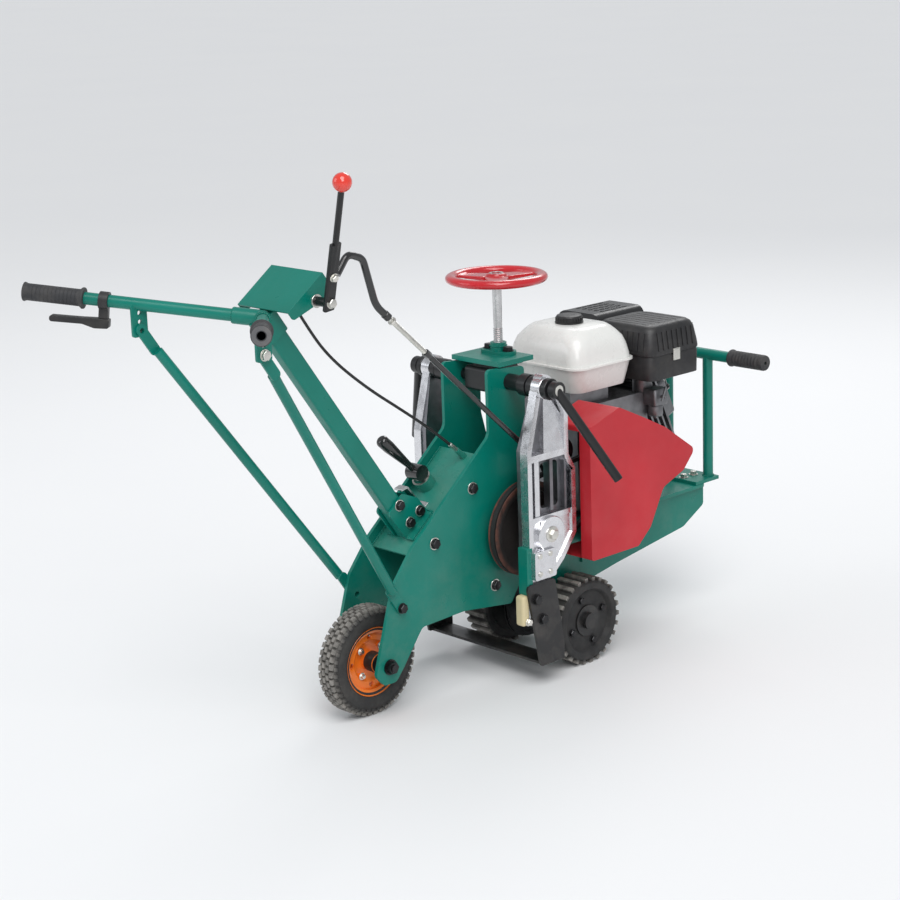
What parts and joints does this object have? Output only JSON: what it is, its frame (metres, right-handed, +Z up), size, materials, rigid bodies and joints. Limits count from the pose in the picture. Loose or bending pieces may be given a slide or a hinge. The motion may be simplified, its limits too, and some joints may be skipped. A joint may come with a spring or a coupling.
{
  "type": "sod cutter",
  "caption": "Walk-behind sod cutter: rear wheel in a plate frame, lugged front wheels, two shaken arms with a U-shaped blade, engine, hand wheel and swept handlebars.",
  "frame": {"origin": "middle of the outer box, on the ground", "axes": "+X forward, +Y to the machine's left, +Z up"},
  "size_m": [1.5352, 0.7304, 1.1281],
  "materials": {
    "green_paint": "satin",
    "deck_paint": "satin",
    "red_paint": "gloss",
    "red_sheet": "gloss",
    "casting": "cast",
    "steel": "machined",
    "black_steel": "satin",
    "black_iron": "painted",
    "tyre": "matt",
    "orange_rim": "gloss",
    "rubber": "matt",
    "engine_alloy": "cast, dark",
    "white_plastic": "gloss",
    "black_plastic": "matt",
    "cream_plastic": "matt",
    "red_ball": "gloss"
  },
  "bodies": {
    "frame": {"air_cleaner": "black_plastic", "belt_guard": "red_sheet", "bracket_strap": "steel", "club_lever": "black_plastic", "clutch_lever": "black_steel", "clutch_rod": "black_steel", "column_bracket": "green_paint", "console_plate": "green_paint", "control_cable": "rubber", "crank_bearings": "black_iron", "cross_shaft": "black_steel", "deck_plate": "deck_paint", "drive_belt": "rubber", "drive_chain": "black_steel", "engine_block": "engine_alloy", "engine_plate": "green_paint", "fan_housing": "black_plastic", "frame_bolts": "black_steel", "frame_ties": "green_paint", "front_grips": "rubber", "front_handle": "green_paint", "fuel_cap": "black_plastic", "fuel_tank": "white_plastic", "gear_case": "black_iron", "grips": "rubber", "guard_stays": "green_paint", "hand_lever": "black_plastic", "handle_column": "green_paint", "handle_head": "green_paint", "handlebars": "green_paint", "idler_arm": "black_steel", "lever_ball": "red_ball", "lever_clamp": "black_plastic", "rear_axle": "steel", "screw_bridge": "green_paint", "shaft_bearings": "black_iron", "side_bars": "black_steel", "side_plate_left": "green_paint", "side_plate_right": "green_paint", "silencer": "black_steel", "struts": "green_paint", "trunnion_block": "black_steel"},
    "rear_wheel": {"rear_tyre": "tyre", "rear_rim": "orange_rim"},
    "front_wheels": {"drive_wheels": "rubber", "drive_shaft": "black_steel", "drive_sprocket": "black_steel"},
    "gear_output": {"gear_sprocket": "steel"},
    "crank": {"crank_shaft": "steel", "drive_disc": "black_iron"},
    "knife": {"knife_arm_left": "casting", "knife_arm_right": "casting", "blade": "black_steel", "blade_bolts": "steel", "wear_blocks": "cream_plastic"},
    "depth_wheel": {"hand_wheel": "red_paint", "depth_screw": "steel"},
    "output_pulley": {"engine_pulley": "black_iron"}
  },
  "joints": [
    {"name": "rear_wheel_spin", "type": "hinge", "parent": "frame", "child": "rear_wheel", "pos_m": [-0.25425, 0, 0.1125], "axis": [0, 1, 0], "continuous": true},
    {"name": "front_wheels_spin", "type": "hinge", "parent": "frame", "child": "front_wheels", "pos_m": [0.24975, 0, 0.095], "axis": [0, 1, 0], "continuous": true},
    {"name": "crank_spin", "type": "hinge", "parent": "frame", "child": "crank", "pos_m": [0.11075, 0, 0.325], "axis": [0, 1, 0], "continuous": true},
    {"name": "output_pulley_spin", "type": "hinge", "parent": "frame", "child": "output_pulley", "pos_m": [0.43575, 0, 0.423], "axis": [0, 1, 0], "continuous": true},
    {"name": "gear_output_spin", "type": "hinge", "parent": "frame", "child": "gear_output", "pos_m": [0.19175, 0, 0.262], "axis": [0, 1, 0], "continuous": true},
    {"name": "knife_swing", "type": "hinge", "parent": "frame", "child": "knife", "pos_m": [0.10275, 0, 0.632], "axis": [0, 1, 0], "range_deg": [-0.9, 0.9]},
    {"name": "depth_wheel_turn", "type": "hinge", "parent": "frame", "child": "depth_wheel", "pos_m": [0.14275, 0, 0.835], "axis": [0, 0, 1], "continuous": true}
  ],
  "couplings": [
    {"joint": "output_pulley_spin", "follows": "crank_spin", "ratio": 2.381},
    {"joint": "gear_output_spin", "follows": "front_wheels_spin", "ratio": 2.1667}
  ]
}
